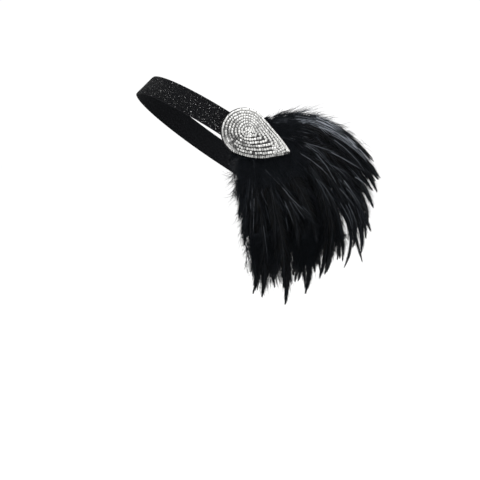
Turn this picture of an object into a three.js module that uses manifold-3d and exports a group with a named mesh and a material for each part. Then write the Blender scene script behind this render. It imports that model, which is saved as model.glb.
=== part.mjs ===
// A flapper headband as it sits on a head: an elastic band, a fan of black feathers on a felt pad,
// and a teardrop patch sewn with rows of glass beads that covers the feather roots.
// Millimetres, +Z up. The wearer looks along -Y and +X is the wearer's left, where the feathers hang.
// The origin is the centre of the band's loop.
import * as THREE from "three";
import Module from "manifold-3d";

const wasm = await Module();
wasm.setup();

// The head that the elastic is stretched round, taken as an ellipsoid
const HEAD_LENGTH = 195;
const HEAD_WIDTH = 156;
const HEAD_HEIGHT = 146;

// The elastic band: a closed loop that climbs from the nape to the top of the forehead
const BAND_WIDTH = 19;
const BAND_THICKNESS = 1.2;
const BAND_TILT = THREE.MathUtils.degToRad(34);
const BAND_DROP = 6.2; // the loop's plane passes this far below the middle of the head
const BAND_STATIONS = 96;
const BAND_TWIST = 0.6; // under the patch it turns with the head, and its edges rise by this much

// Clearance between pieces that are glued or sewn together
const SEAM_GAP = 0.3;

// The beaded patch: a teardrop with its round end forward and its point towards the back
const PATCH_STATION = THREE.MathUtils.degToRad(97.25); // where it sits on the loop, from the back
const PATCH_LENGTH = 58;
const PATCH_WIDTH = 36.5;
const PATCH_TOP_RADIUS = 260; // the top side is nearly straight
const PATCH_FOOT_RADIUS = 54; // the lower side bulges
const PATCH_TURN = THREE.MathUtils.degToRad(10); // its point is turned up from the band's line
const EYE_SETBACK = 24.3; // from the round end to the eye that the bead rows close on
const EYE_SHIFT = 1.8; // the eye lies this far above the patch's own axis
const EYE_RISE = 5.3; // and this far above the band's middle line
const FELT_THICKNESS = 1.4;
const PATCH_SIDES = 44;

// The bead rows, each one a ridge as high as its beads
const BEAD_ROWS = 8;
const BEAD_DIAMETER = 2;
const BEAD_BED = 0.7; // the bed of thread and bead undersides between the ridges
const BEAD_MARGIN = 0.5; // the felt that shows round the outer row
const RIDGE = [
  { across: 0.0, height: 0.25 },
  { across: 0.22, height: 0.85 },
  { across: 0.5, height: 1.0 },
  { across: 0.78, height: 0.85 },
];

// The felt pad that the feather quills are glued to, under the patch
const PAD_THICKNESS = 2.3;
const PAD_SHARE = 0.8; // of the patch's outline

// The feathers
const FEATHER_LENGTH = 140; // from the eye of the patch to the furthest tip
const FEATHER_WIDTH = 21;
const SHAFT_THICKNESS = 1.2;
const EDGE_THICKNESS = 0.6;
const FEATHER_ARCH = 0.1; // how steeply a vane falls from its shaft to its edges
const FAN_DEPTH = 20; // how far the top layer would stand off the bottom one at the furthest tip
const LIFT_START = 20; // the layers part this far from the eye, under the edge of the patch
const LIFT_POWER = 1.5; // and then ever faster
const ROOT_RADIUS = 6; // the quills start on this circle round the eye
const BEND_SHARE = 0.52; // where along a feather its first, straight stretch aims
const SIDE_SLOPE = 0.25; // how steeply the fan falls in towards the back of the head
const DOWN_CURVE = 250; // radius of the fan across the band, beside the patch
const DOWN_SLOPE = 0.05; // how steeply the hanging feathers fall in towards the jaw

// One row for each feather, first the long ones from the top of the fan to its foot and then the
// short ones that cover them. out is the angle at which it leaves the patch and tip the angle of
// its tip, seen from the eye, in degrees from the band's line with the crown's side positive. reach
// is a share of FEATHER_LENGTH, wide of FEATHER_WIDTH and lift of FAN_DEPTH.
const FEATHERS = [
  { out: 65, tip: 32, reach: 0.59, wide: 0.6, lift: 0.0 },
  { out: 64, tip: 22, reach: 0.71, wide: 0.7, lift: 0.2 },
  { out: 61, tip: 17, reach: 0.80, wide: 0.8, lift: 0.5 },
  { out: 56, tip: 15, reach: 0.80, wide: 0.9, lift: 0.1 },
  { out: 52, tip: 9, reach: 0.79, wide: 0.9, lift: 0.7 },
  { out: 47, tip: 4, reach: 0.83, wide: 0.9, lift: 0.35 },
  { out: 41, tip: 0, reach: 0.88, wide: 0.9, lift: 0.0 },
  { out: 37, tip: -5, reach: 0.88, wide: 1.0, lift: 0.6 },
  { out: 31, tip: -15, reach: 0.96, wide: 0.8, lift: 0.85 },
  { out: 27, tip: -15, reach: 0.88, wide: 0.8, lift: 0.3 },
  { out: 22, tip: -21, reach: 0.94, wide: 0.8, lift: 0.1 },
  { out: 17, tip: -21, reach: 0.86, wide: 0.9, lift: 0.55 },
  { out: 12, tip: -27, reach: 0.91, wide: 0.9, lift: 0.25 },
  { out: 7, tip: -31, reach: 0.90, wide: 0.9, lift: 0.75 },
  { out: 1, tip: -37, reach: 0.95, wide: 0.9, lift: 0.4 },
  { out: -4, tip: -39, reach: 0.87, wide: 1.0, lift: 0.1 },
  { out: -10, tip: -45, reach: 0.97, wide: 0.9, lift: 0.8 },
  { out: -17, tip: -47, reach: 0.86, wide: 1.0, lift: 0.3 },
  { out: -23, tip: -53, reach: 0.92, wide: 0.9, lift: 0.6 },
  { out: -32, tip: -56, reach: 0.90, wide: 0.8, lift: 0.2 },
  { out: -46, tip: -58, reach: 0.68, wide: 0.8, lift: 0.45 },
  { out: -60, tip: -62, reach: 0.57, wide: 0.8, lift: 0.1 },
  { out: -75, tip: -70, reach: 0.39, wide: 0.7, lift: 0.3 },
  { out: -97, tip: -93, reach: 0.22, wide: 0.4, lift: 0.1 },
  { out: 40, tip: 9, reach: 0.72, wide: 1.1, lift: 0.9 },
  { out: 20, tip: -9, reach: 0.78, wide: 1.1, lift: 1.0 },
  { out: 6, tip: -17, reach: 0.77, wide: 1.1, lift: 0.9 },
  { out: -6, tip: -25, reach: 0.72, wide: 1.1, lift: 1.0 },
  { out: -18, tip: -34, reach: 0.71, wide: 1.1, lift: 0.95 },
  { out: -34, tip: -45, reach: 0.66, wide: 1.1, lift: 1.0 },
  { out: -52, tip: -53, reach: 0.51, wide: 1.0, lift: 0.8 },
];

// Half width of a feather's vane along it, as shares of its length and of its half width
const VANE = [
  { along: 0.0, half: 0.12 },
  { along: 0.14, half: 0.3 },
  { along: 0.3, half: 0.85 },
  { along: 0.5, half: 1.0 },
  { along: 0.7, half: 0.82 },
  { along: 0.85, half: 0.45 },
  { along: 0.94, half: 0.2 },
  { along: 1.0, half: 0.04 },
];

const BLACK_ELASTIC = { color: 0x141518, roughness: 0.7, metalness: 0 };
const BLACK_FELT = { color: 0x17171a, roughness: 0.95, metalness: 0 };
const SILVER_GLASS = { color: 0xd6d5d0, roughness: 0.25, metalness: 0.3 };
const BLACK_FEATHER = { color: 0x0d0e11, roughness: 0.6, metalness: 0 };

// A closed surface through rings of points. A loop of rings closes on itself; otherwise both ends
// are capped with a fan round the middle of the end ring.
function skin(rings, isLoop) {
  const around = rings[0].length;
  const points = rings.flat();
  const faces = [];
  const spans = isLoop ? rings.length : rings.length - 1;
  for (let i = 0; i < spans; i++) {
    const here = i * around;
    const next = ((i + 1) % rings.length) * around;
    for (let j = 0; j < around; j++) {
      const k = (j + 1) % around;
      faces.push(here + j, here + k, next + k, here + j, next + k, next + j);
    }
  }
  if (!isLoop) {
    const last = (rings.length - 1) * around;
    const first = points.push(middle(rings[0])) - 1;
    const final = points.push(middle(rings.at(-1))) - 1;
    for (let j = 0; j < around; j++) {
      const k = (j + 1) % around;
      faces.push(first, k, j, final, last + j, last + k);
    }
  }
  const geometry = new THREE.BufferGeometry().setFromPoints(points);
  return geometry.setIndex(faces);
}

function middle(ring) {
  const sum = new THREE.Vector3();
  ring.forEach((point) => sum.add(point));
  return sum.divideScalar(ring.length);
}

function solid(geometry) {
  return new wasm.Manifold(
    new wasm.Mesh({
      numProp: 3,
      vertProperties: geometry.getAttribute("position").array,
      triVerts: new Uint32Array(geometry.getIndex().array),
    }),
  );
}

function geometryOf(manifold) {
  const mesh = manifold.getMesh();
  const points = new Float32Array(mesh.numVert * 3);
  for (let i = 0; i < mesh.numVert; i++) {
    for (let axis = 0; axis < 3; axis++) {
      points[3 * i + axis] = mesh.vertProperties[mesh.numProp * i + axis];
    }
  }
  const geometry = new THREE.BufferGeometry();
  geometry.setAttribute("position", new THREE.BufferAttribute(points, 3));
  return geometry.setIndex([...mesh.triVerts]);
}

function mesh(name, geometry, finish) {
  geometry.computeVertexNormals();
  const made = new THREE.Mesh(geometry, new THREE.MeshStandardMaterial(finish));
  made.name = name;
  return made;
}

// The loop: the ellipse in which the band's plane cuts the head. Its centre is the origin.
const LEFT = new THREE.Vector3(1, 0, 0);
const BACK = new THREE.Vector3(0, Math.cos(BAND_TILT), -Math.sin(BAND_TILT));
const UP = new THREE.Vector3(0, Math.sin(BAND_TILT), Math.cos(BAND_TILT));
const SQUARES = new THREE.Vector3(HEAD_WIDTH, HEAD_LENGTH, HEAD_HEIGHT)
  .divideScalar(2)
  .toArray()
  .map((half) => 1 / half ** 2);

function weighed(a, b) {
  return a.x * b.x * SQUARES[0] + a.y * b.y * SQUARES[1] + a.z * b.z * SQUARES[2];
}

const LOOP_SHIFT = (weighed(BACK, UP) * BAND_DROP) / weighed(BACK, BACK);
const LOOP_SCALE = 1 - weighed(UP, UP) * BAND_DROP ** 2 + weighed(BACK, BACK) * LOOP_SHIFT ** 2;
const LOOP_HALF_WIDTH = Math.sqrt(LOOP_SCALE / weighed(LEFT, LEFT));
const LOOP_HALF_LENGTH = Math.sqrt(LOOP_SCALE / weighed(BACK, BACK));
const HEAD_MIDDLE = UP.clone().multiplyScalar(BAND_DROP).addScaledVector(BACK, -LOOP_SHIFT);

// A place on the loop: the point on the head, the way along the band towards the back on the
// wearer's left, the way up across the band, and the way out from the head.
function station(angle) {
  const point = BACK.clone()
    .multiplyScalar(LOOP_HALF_LENGTH * Math.cos(angle))
    .addScaledVector(LEFT, LOOP_HALF_WIDTH * Math.sin(angle));
  const along = BACK.clone()
    .multiplyScalar(LOOP_HALF_LENGTH * Math.sin(angle))
    .addScaledVector(LEFT, -LOOP_HALF_WIDTH * Math.cos(angle))
    .normalize();
  const fromMiddle = point.clone().sub(HEAD_MIDDLE);
  const out = new THREE.Vector3(
    fromMiddle.x * SQUARES[0],
    fromMiddle.y * SQUARES[1],
    fromMiddle.z * SQUARES[2],
  ).normalize();
  const across = new THREE.Vector3().crossVectors(out, along).normalize();
  return { point, along, across, out };
}

function band() {
  const rings = [];
  for (let i = 0; i < BAND_STATIONS; i++) {
    const at = station((2 * Math.PI * i) / BAND_STATIONS);
    const corner = (side, lift) =>
      at.point
        .clone()
        .addScaledVector(at.across, (side * BAND_WIDTH) / 2)
        .addScaledVector(at.out, lift);
    rings.push([
      corner(1, 0),
      corner(-1, 0),
      corner(-1, BAND_THICKNESS),
      corner(1, BAND_THICKNESS),
    ]);
  }
  return mesh("elastic_band", skin(rings, true), BLACK_ELASTIC);
}

// The sheet that the pad, the patch and the feathers follow. It hugs the band at the patch and
// straightens further out, as a hyperbola: p runs along the band to the back, q up across it, and
// lift is the height over the head.
const SEAT = station(PATCH_STATION);
const SEAT_CURVE =
  ((LOOP_HALF_WIDTH * Math.cos(PATCH_STATION)) ** 2 +
    (LOOP_HALF_LENGTH * Math.sin(PATCH_STATION)) ** 2) **
    1.5 /
  (LOOP_HALF_WIDTH * LOOP_HALF_LENGTH);

function fall(distance, curve, slope) {
  const knee = curve * slope;
  return knee * slope * (Math.hypot(1, distance / knee) - 1);
}

function onSheet(p, q, lift) {
  const height = lift - fall(p, SEAT_CURVE, SIDE_SLOPE) - fall(q, DOWN_CURVE, DOWN_SLOPE);
  return SEAT.point
    .clone()
    .addScaledVector(SEAT.along, p)
    .addScaledVector(SEAT.across, q)
    .addScaledVector(SEAT.out, height);
}

// A side of the patch is a bowed arc that touches the round end and runs to the point. Its centre
// lies across the patch's axis, and its two ends are seen from there at the angles touch and point.
const ROUND = PATCH_WIDTH / 2;

function bowedSide(radius) {
  const x = (PATCH_LENGTH ** 2 - 2 * radius * ROUND) / (2 * (PATCH_LENGTH - ROUND));
  const y = Math.sqrt(radius ** 2 - (PATCH_LENGTH - x) ** 2);
  return { x, y, touch: Math.atan2(y, ROUND - x), point: Math.atan2(y, PATCH_LENGTH - x) };
}

// The patch's outline from its point round to its point again, seen from the eye
function patchOutline() {
  const top = bowedSide(PATCH_TOP_RADIUS);
  const foot = bowedSide(PATCH_FOOT_RADIUS);
  const path = new THREE.Path();
  path.absarc(top.x, -top.y, PATCH_TOP_RADIUS, top.point, top.touch);
  path.absarc(ROUND, 0, ROUND, top.touch, 2 * Math.PI - foot.touch);
  path.absarc(foot.x, foot.y, PATCH_FOOT_RADIUS, -foot.touch, -foot.point);
  const eye = new THREE.Vector2(EYE_SETBACK, EYE_SHIFT);
  return path
    .getSpacedPoints(PATCH_SIDES)
    .slice(0, -1)
    .map((place) => place.sub(eye));
}

// A ring round the eye at a share of the way out to the patch's edge, less a margin. Rings near
// the eye are rounder than the outline.
function patchRing(share, margin, lift) {
  const rounding = (1 - share) ** 2;
  return OUTLINE.map((edge) => {
    const full = edge.length() * (1 - rounding) + ROUND * rounding;
    const place = edge.clone().setLength(share * (full - margin));
    place.rotateAround(new THREE.Vector2(), PATCH_TURN);
    return onSheet(place.x, EYE_RISE + place.y, lift);
  });
}

const OUTLINE = patchOutline();
const PLATE_SHARES = [0.05, 0.3, 0.55, 0.8, 1];

// A felt plate of the patch's outline, at a share of its size
function feltPlate(size, low, high) {
  const under = PLATE_SHARES.map((share) => patchRing(size * share, 0, low));
  const over = PLATE_SHARES.map((share) => patchRing(size * share, 0, high));
  return skin([...under, ...over.reverse()], false);
}

// Heights over the head: band, pad with the quills, patch, beads
const PAD_LOW = BAND_THICKNESS + BAND_TWIST + SEAM_GAP;
const PAD_HIGH = PAD_LOW + PAD_THICKNESS;
const PATCH_LOW = PAD_HIGH + SEAM_GAP;
const PATCH_HIGH = PATCH_LOW + FELT_THICKNESS;
const BEADS_LOW = PATCH_HIGH + SEAM_GAP;
const QUILL_HEIGHT = (PAD_LOW + PAD_HIGH) / 2;

// The beads as one body: a bed with a ridge for each row
function beadRows() {
  const under = PLATE_SHARES.map((share) => patchRing(share, BEAD_MARGIN, BEADS_LOW));
  const ridges = [];
  for (let row = BEAD_ROWS; row > 0; row--) {
    for (const step of RIDGE) {
      const top = BEADS_LOW + BEAD_BED + (BEAD_DIAMETER - BEAD_BED) * step.height;
      ridges.push(patchRing((row - step.across) / BEAD_ROWS, BEAD_MARGIN, top));
    }
  }
  return mesh("bead_rows", skin([...under, ...ridges], false), SILVER_GLASS);
}

// How far a feather stands off the sheet at a distance from the eye
function layerLift(row, distance) {
  const past = Math.max(0, distance - LIFT_START) / (FEATHER_LENGTH - LIFT_START);
  return row.lift * FAN_DEPTH * past ** LIFT_POWER;
}

// One feather: an arched blade along a curve that leaves the patch straight and then droops
function blade(row) {
  const out = THREE.MathUtils.degToRad(row.out);
  const tip = THREE.MathUtils.degToRad(row.tip);
  const root = new THREE.Vector2(ROOT_RADIUS, 0).rotateAround(new THREE.Vector2(), out);
  const end = new THREE.Vector2(row.reach * FEATHER_LENGTH, 0);
  end.rotateAround(new THREE.Vector2(), tip);
  const aim = root.clone().setLength(ROOT_RADIUS + BEND_SHARE * root.distanceTo(end));
  const shaft = new THREE.QuadraticBezierCurve(root, aim, end);
  const rings = VANE.map(({ along, half }) => {
    const spot = shaft.getPoint(along);
    const heading = shaft.getTangent(along);
    const halfWidth = (half * row.wide * FEATHER_WIDTH) / 2;
    const height = QUILL_HEIGHT + layerLift(row, spot.length());
    const place = (side, thickness) => {
      const p = spot.x - side * halfWidth * heading.y;
      const q = spot.y + side * halfWidth * heading.x;
      const arch = Math.abs(side) * halfWidth * FEATHER_ARCH;
      return onSheet(p, EYE_RISE + q, height - arch + thickness / 2);
    };
    return [
      place(1, -EDGE_THICKNESS),
      place(1, EDGE_THICKNESS),
      place(0, SHAFT_THICKNESS),
      place(-1, EDGE_THICKNESS),
      place(-1, -EDGE_THICKNESS),
      place(0, -SHAFT_THICKNESS),
    ];
  });
  return solid(skin(rings, false));
}

function featherFan() {
  const pad = solid(feltPlate(PAD_SHARE, PAD_LOW, PAD_HIGH));
  const fused = FEATHERS.reduce((made, row) => made.add(blade(row)), pad);
  // Crossing feathers seal small pockets between them. Their walls are left out.
  const skins = fused.decompose().sort((a, b) => b.volume() - a.volume());
  return mesh("feather_fan", geometryOf(skins[0]), BLACK_FEATHER);
}

function patch() {
  return mesh("patch_felt", feltPlate(1, PATCH_LOW, PATCH_HIGH), BLACK_FELT);
}

const headband = new THREE.Group();
headband.add(band(), featherFan(), patch(), beadRows());
export default headband;
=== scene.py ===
"""A flapper headband: glitter elastic, a fan of black feathers and a patch of glass beads.

Metres, +Z up. The wearer faces -Y, the feathers hang on the wearer's left, +X, and the origin
is the centre of the band's loop.
"""
import math
from collections import namedtuple

import bpy
import numpy as np
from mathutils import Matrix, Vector


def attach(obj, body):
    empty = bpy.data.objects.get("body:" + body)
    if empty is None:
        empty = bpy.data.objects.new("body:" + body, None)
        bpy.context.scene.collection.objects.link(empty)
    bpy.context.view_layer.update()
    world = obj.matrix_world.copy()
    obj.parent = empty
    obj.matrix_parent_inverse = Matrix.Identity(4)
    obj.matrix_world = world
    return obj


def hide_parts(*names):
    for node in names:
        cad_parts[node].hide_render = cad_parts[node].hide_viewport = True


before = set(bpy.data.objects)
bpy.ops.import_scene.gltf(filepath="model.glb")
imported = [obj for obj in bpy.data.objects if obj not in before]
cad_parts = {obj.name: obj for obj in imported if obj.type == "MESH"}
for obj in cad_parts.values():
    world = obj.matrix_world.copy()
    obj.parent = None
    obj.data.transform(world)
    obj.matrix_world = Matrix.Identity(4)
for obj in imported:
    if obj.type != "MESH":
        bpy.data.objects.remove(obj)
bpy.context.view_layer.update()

# The elastic band
# One closed loop of black woven elastic, 19 mm wide, worn high at the front and low round the
# back. Narrow strips of silver film are woven into its face and glitter on it.
HEAD_HALF = np.array([0.156, 0.195, 0.146]) / 2
BAND_WIDTH = 0.019
BAND_THICKNESS = 0.0012
BAND_TILT = math.radians(34)
BAND_DROP = 0.0062
BAND_TWIST = 0.0006
SEAM_GAP = 0.0003

LEFT = np.array([1, 0, 0])
BACK = np.array([0, math.cos(BAND_TILT), -math.sin(BAND_TILT)])
UP = np.array([0, math.sin(BAND_TILT), math.cos(BAND_TILT)])


def unit(ways):
    """The same ways, each scaled to length one."""
    return ways / np.linalg.norm(ways, axis=-1, keepdims=True)


def weighed(a, b):
    """The product of two ways, each axis divided by the square of the ellipsoid's half size."""
    return float(np.sum(a * b / HEAD_HALF**2))


# The plane cuts the ellipsoid in an ellipse round the origin. These are its two half sizes and
# the ellipsoid's middle, which lies above the plane.
loop_shift = weighed(BACK, UP) * BAND_DROP / weighed(BACK, BACK)
loop_scale = 1 - weighed(UP, UP) * BAND_DROP**2 + weighed(BACK, BACK) * loop_shift**2
LOOP_HALF_WIDTH = math.sqrt(loop_scale / weighed(LEFT, LEFT))
LOOP_HALF_LENGTH = math.sqrt(loop_scale / weighed(BACK, BACK))
HEAD_MIDDLE = UP * BAND_DROP - BACK * loop_shift


def loop_station(angle):
    """Places on the loop: the point, the way back along it, up across it and out from it.

    The loop is the ellipse in which a tilted plane cuts the ellipsoid that the band fits, and
    the way out is the ellipsoid's normal at that point.
    """
    cos, sin = np.cos(angle)[..., None], np.sin(angle)[..., None]
    point = LOOP_HALF_LENGTH * cos * BACK + LOOP_HALF_WIDTH * sin * LEFT
    along = unit(LOOP_HALF_LENGTH * sin * BACK - LOOP_HALF_WIDTH * cos * LEFT)
    out = unit((point - HEAD_MIDDLE) / HEAD_HALF**2)
    return point, along, unit(np.cross(out, along)), out


def full_turn(count):
    """Evenly spaced angles round a circle."""
    return np.linspace(0, 2 * np.pi, count, endpoint=False)


def way_at(angle):
    """The way on a sheet at an angle."""
    return np.stack([np.cos(angle), np.sin(angle)], axis=-1)


def left_of(heading):
    """The way to the left of a heading on a sheet."""
    return np.stack([-heading[..., 1], heading[..., 0]], axis=-1)


def tube_faces(rings, around, closed=False):
    """Triangles of a skin through rings of corners numbered ring by ring.

    A closed skin joins its last ring to its first. An open one is capped at both ends with fans
    round two more corners, the middles of the end rings, which come last in the list.
    """
    ring, step = np.meshgrid(np.arange(rings if closed else rings - 1), np.arange(around), indexing="ij")
    here, beside = ring * around + step, ring * around + (step + 1) % around
    onward = (ring + 1) % rings * around
    ahead, across = onward + step, onward + (step + 1) % around
    walls = np.stack([here, beside, across, here, across, ahead], axis=-1).reshape(-1, 3)
    if closed:
        return walls
    turn = np.arange(around)
    after = (turn + 1) % around
    last = (rings - 1) * around
    first_middle = np.full(around, rings * around)
    start = np.stack([first_middle, after, turn], axis=-1)
    end = np.stack([first_middle + 1, last + turn, last + after], axis=-1)
    return np.concatenate([walls, start, end])


def copied(faces, corners, count):
    """The faces of one small mesh with this many corners, once for each of its copies."""
    return (faces + corners * np.arange(count)[:, None, None]).reshape(-1, 3)


def capped(rings):
    """The corners of an open skin: its rings, then the middles of its first and last ring."""
    middles = rings[[0, -1]].mean(axis=1)
    return np.concatenate([rings.reshape(-1, 3), middles])


def add_piece(name, points, faces, material, node, attributes=None):
    """A smooth mesh of triangles that rides on the root and stands for a CAD node.

    Its attributes are values for its corners, which its material reads.
    """
    mesh = bpy.data.meshes.new(name)
    mesh.vertices.add(len(points))
    mesh.vertices.foreach_set("co", points.astype(np.float32).ravel())
    mesh.loops.add(faces.size)
    mesh.loops.foreach_set("vertex_index", faces.astype(np.int32).ravel())
    mesh.polygons.add(len(faces))
    mesh.polygons.foreach_set("loop_start", np.arange(0, faces.size, 3, dtype=np.int32))
    mesh.update(calc_edges=True)
    mesh.shade_smooth()
    for label, values in (attributes or {}).items():
        layer = mesh.attributes.new(label, "FLOAT", "POINT")
        layer.data.foreach_set("value", values.astype(np.float32).ravel())
    mesh.materials.append(material)
    piece = bpy.data.objects.new(name, mesh)
    bpy.context.collection.objects.link(piece)
    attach(piece, "root")
    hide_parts(node)


def new_material(name, **settings):
    """A material and its node tree, with values set on its shader's sockets."""
    material = bpy.data.materials.new(name)
    material.use_nodes = True
    shader = material.node_tree.nodes["Principled BSDF"]
    for socket, value in settings.items():
        shader.inputs[socket.replace("_", " ")].default_value = value
    return material, material.node_tree, shader


def add_node(tree, kind, sockets=None, **settings):
    """A shader node. Its sockets get a value or a link from another node's socket."""
    made = tree.nodes.new("ShaderNode" + kind)
    for setting, value in settings.items():
        setattr(made, setting, value)
    for socket, value in (sockets or {}).items():
        if isinstance(value, bpy.types.NodeSocket):
            tree.links.new(value, made.inputs[socket])
        else:
            made.inputs[socket].default_value = value
    return made


def ramp(tree, factor, stops):
    """A colour ramp over a factor, with stops of place and grey or colour."""
    made = add_node(tree, "ValToRGB", {"Fac": factor})
    elements = made.color_ramp.elements
    while len(elements) < len(stops):
        elements.new(0.5)
    for element, (place, colour) in zip(elements, stops):
        element.position = place
        element.color = (*colour, 1) if isinstance(colour, tuple) else (colour, colour, colour, 1)
    return made.outputs["Color"]


def own_value(tree, label):
    """A value that the piece's mesh carries at each corner."""
    return add_node(tree, "Attribute", attribute_name=label).outputs["Fac"]


def grain(tree, scale, detail, place=None):
    """Fine random grain over the piece, by its Object coordinates or by another place."""
    if place is None:
        place = add_node(tree, "TexCoord").outputs["Object"]
    return add_node(tree, "TexNoise", {"Vector": place, "Scale": scale, "Detail": detail}).outputs["Fac"]


def emboss(tree, shader, height, strength, distance):
    """Raises the surface by a pattern's height, as bump."""
    bump = add_node(tree, "Bump", {"Height": height, "Strength": strength, "Distance": distance})
    tree.links.new(bump.outputs[0], shader.inputs["Normal"])


def toned_material(name, label, colours, **settings):
    """A material whose colour follows a value that the piece's mesh carries at each corner."""
    material, tree, shader = new_material(name, **settings)
    tree.links.new(ramp(tree, own_value(tree, label), colours), shader.inputs["Base Color"])
    return material


def fibrous_material(name, colours, scale, detail, strength, **settings):
    """A material of fine random fibres, which give it its colour and stand out as bump."""
    material, tree, shader = new_material(name, **settings)
    fibres = grain(tree, scale, detail)
    tree.links.new(ramp(tree, fibres, colours), shader.inputs["Base Color"])
    emboss(tree, shader, fibres, strength, distance=0.0003)
    return material


BAND_STATIONS = 240
BAND_FACE_POINTS = 40
BAND_EDGE_POWER = 10
BAND_RIB_PITCH = 0.00095
BAND_RIB_HEIGHT = 0.00005
BAND_JOIN = math.radians(97.25)


def band_points():
    """The band's wall: across it runs a flat superellipse whose face is ribbed lengthwise.

    The half thickness is half the band's times a root of one less the place across to a high
    power, plus a cosine of the place across for the ribs. The loop starts and ends at its join,
    under the patch.
    """
    turn = np.linspace(2 * np.pi, 0, 2 * BAND_FACE_POINTS, endpoint=False)
    half = BAND_WIDTH / 2
    place = half * np.cos(turn)
    swell = (1 - np.abs(np.cos(turn)) ** BAND_EDGE_POWER) ** (1 / BAND_EDGE_POWER)
    ribs = BAND_RIB_HEIGHT * (np.cos(2 * np.pi * place / BAND_RIB_PITCH) - 1) * swell
    rise = np.sign(np.sin(turn)) * (BAND_THICKNESS / 2 * swell + ribs) + BAND_THICKNESS / 2
    angle = BAND_JOIN + full_turn(BAND_STATIONS)
    point, _, across, out = loop_station(angle)
    rings = point[:, None] + across[:, None] * place[:, None] + out[:, None] * rise[:, None]
    lengthwise = np.repeat(angle, len(turn)) * (LOOP_HALF_LENGTH + LOOP_HALF_WIDTH) / 2
    return rings, lengthwise, np.tile(place, BAND_STATIONS)


YARN_COLOURS = [(0.4, (0.0006, 0.0006, 0.0008)), (0.65, (0.0075, 0.008, 0.009))]


def elastic_material():
    """Black woven elastic: fine cross ribs as bump and single yarns that shine a little."""
    material, tree, shader = new_material("glitter_elastic", Roughness=0.6, Specular_IOR_Level=0.01)
    lengthwise, crosswise = own_value(tree, "lengthwise"), own_value(tree, "crosswise")
    place = add_node(tree, "CombineXYZ", {"X": lengthwise, "Y": crosswise}).outputs[0]
    yarns = grain(tree, scale=1300.0, detail=2.0, place=place)
    tree.links.new(ramp(tree, yarns, YARN_COLOURS), shader.inputs["Base Color"])
    ribs = add_node(tree, "TexWave", {"Vector": place, "Scale": 520.0, "Distortion": 1.2, "Detail": 2.0})
    emboss(tree, shader, ribs.outputs["Fac"], strength=0.5, distance=0.0002)
    return material


band_rings, lengthwise, crosswise = band_points()
add_piece(
    "elastic_band_weave",
    band_rings.reshape(-1, 3),
    tube_faces(BAND_STATIONS, 2 * BAND_FACE_POINTS, closed=True),
    elastic_material(),
    "elastic_band",
    {"lengthwise": lengthwise, "crosswise": crosswise},
)

# The film strips: each is a sliver between two yarns, tilted its own way so that it glints.
FILM_COUNT = 14000
FILM_LENGTH = 0.0006
FILM_LENGTH_SHARES = (0.5, 1.3)
FILM_WIDTH = 0.00024
FILM_THICKNESS = 0.00006
FILM_REACH = 0.47
FILM_HEADING = 0.75
FILM_HEADING_SPREAD = 0.45
FILM_TILT = 0.1
FILM_FRONT = math.radians(75)
FILM_DIMMING = 0.7
FILM_DIMMING_FRONT = 2.4
FILM_DIMMING_UPPER = 1.4
film_random = np.random.default_rng(17)


def film_strips():
    """Flat diamonds on the band's face at random places, six corners each, with their tones.

    Half of them slant one way along the band and half the other, each turned and tilted a
    little its own way. The tone is a random share to a power that grows towards the band's
    front and its upper edge, so the strips are darker there.
    """
    angle = film_random.uniform(0, 2 * np.pi, FILM_COUNT)
    place = film_random.uniform(-FILM_REACH, FILM_REACH, FILM_COUNT) * BAND_WIDTH
    point, along, across, out = loop_station(angle)
    heading = np.where(film_random.random(FILM_COUNT) < 0.5, FILM_HEADING, -FILM_HEADING)
    heading = heading + film_random.normal(0, FILM_HEADING_SPREAD, FILM_COUNT)
    length = FILM_LENGTH / 2 * film_random.uniform(*FILM_LENGTH_SHARES, FILM_COUNT)
    cos, sin = np.cos(heading)[:, None], np.sin(heading)[:, None]
    tilt = film_random.normal(0, FILM_TILT, (2, FILM_COUNT, 1))
    long_way = unit(cos * along + sin * across + tilt[0] * out)
    wide_way = unit(-sin * along + cos * across + tilt[1] * out)
    thin_way = np.cross(long_way, wide_way)
    centre = point + across * place[:, None] + out * (BAND_THICKNESS + FILM_THICKNESS / 4)
    reach, half = long_way * length[:, None], wide_way * FILM_WIDTH / 2
    depth = thin_way * FILM_THICKNESS / 2
    corners = [reach, half, -reach, -half, depth, -depth]
    points = np.stack([centre + corner for corner in corners], axis=1)
    sides = [[0, 1, 4], [1, 2, 4], [2, 3, 4], [3, 0, 4], [1, 0, 5], [2, 1, 5], [3, 2, 5], [0, 3, 5]]
    faces = copied(np.array(sides), len(corners), FILM_COUNT)
    front = np.clip(1 - np.abs(angle - np.pi) / FILM_FRONT, 0, 1)
    upper = place / BAND_WIDTH + 0.5
    dimming = FILM_DIMMING + FILM_DIMMING_FRONT * front + FILM_DIMMING_UPPER * upper
    tone = film_random.random(FILM_COUNT) ** dimming
    return points.reshape(-1, 3), faces, np.repeat(tone, len(corners))


# Silver film seen through the dark weave: from dark grey to bright, a strip at a time.
FILM_COLOURS = [(0.0, 0.006), (0.6, 0.035), (0.85, 0.25), (1.0, 1.0)]
silver_film = toned_material("silver_film", "tone", FILM_COLOURS, Metallic=0.85, Roughness=0.35)
film_points, film_faces, film_tone = film_strips()
add_piece(
    "elastic_band_glitter",
    film_points,
    film_faces,
    silver_film,
    "elastic_band",
    {"tone": film_tone},
)

# The felt pieces
# Two teardrops of black felt: a small pad that the quills are glued to, on the band, and the
# patch's own felt over it, to which the beads are sewn. Both follow the curve of the band.
PATCH_STATION = BAND_JOIN
PATCH_LENGTH = 0.058
PATCH_WIDTH = 0.0365
PATCH_TOP_RADIUS = 0.26
PATCH_FOOT_RADIUS = 0.054
PATCH_TURN = math.radians(10)
EYE_SETBACK = 0.0243
EYE_SHIFT = 0.0018
EYE_RISE = 0.0053
FELT_THICKNESS = 0.0014
PAD_THICKNESS = 0.0023
PAD_SHARE = 0.8
SIDE_SLOPE = 0.25
DOWN_CURVE = 0.25
DOWN_SLOPE = 0.05

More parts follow.
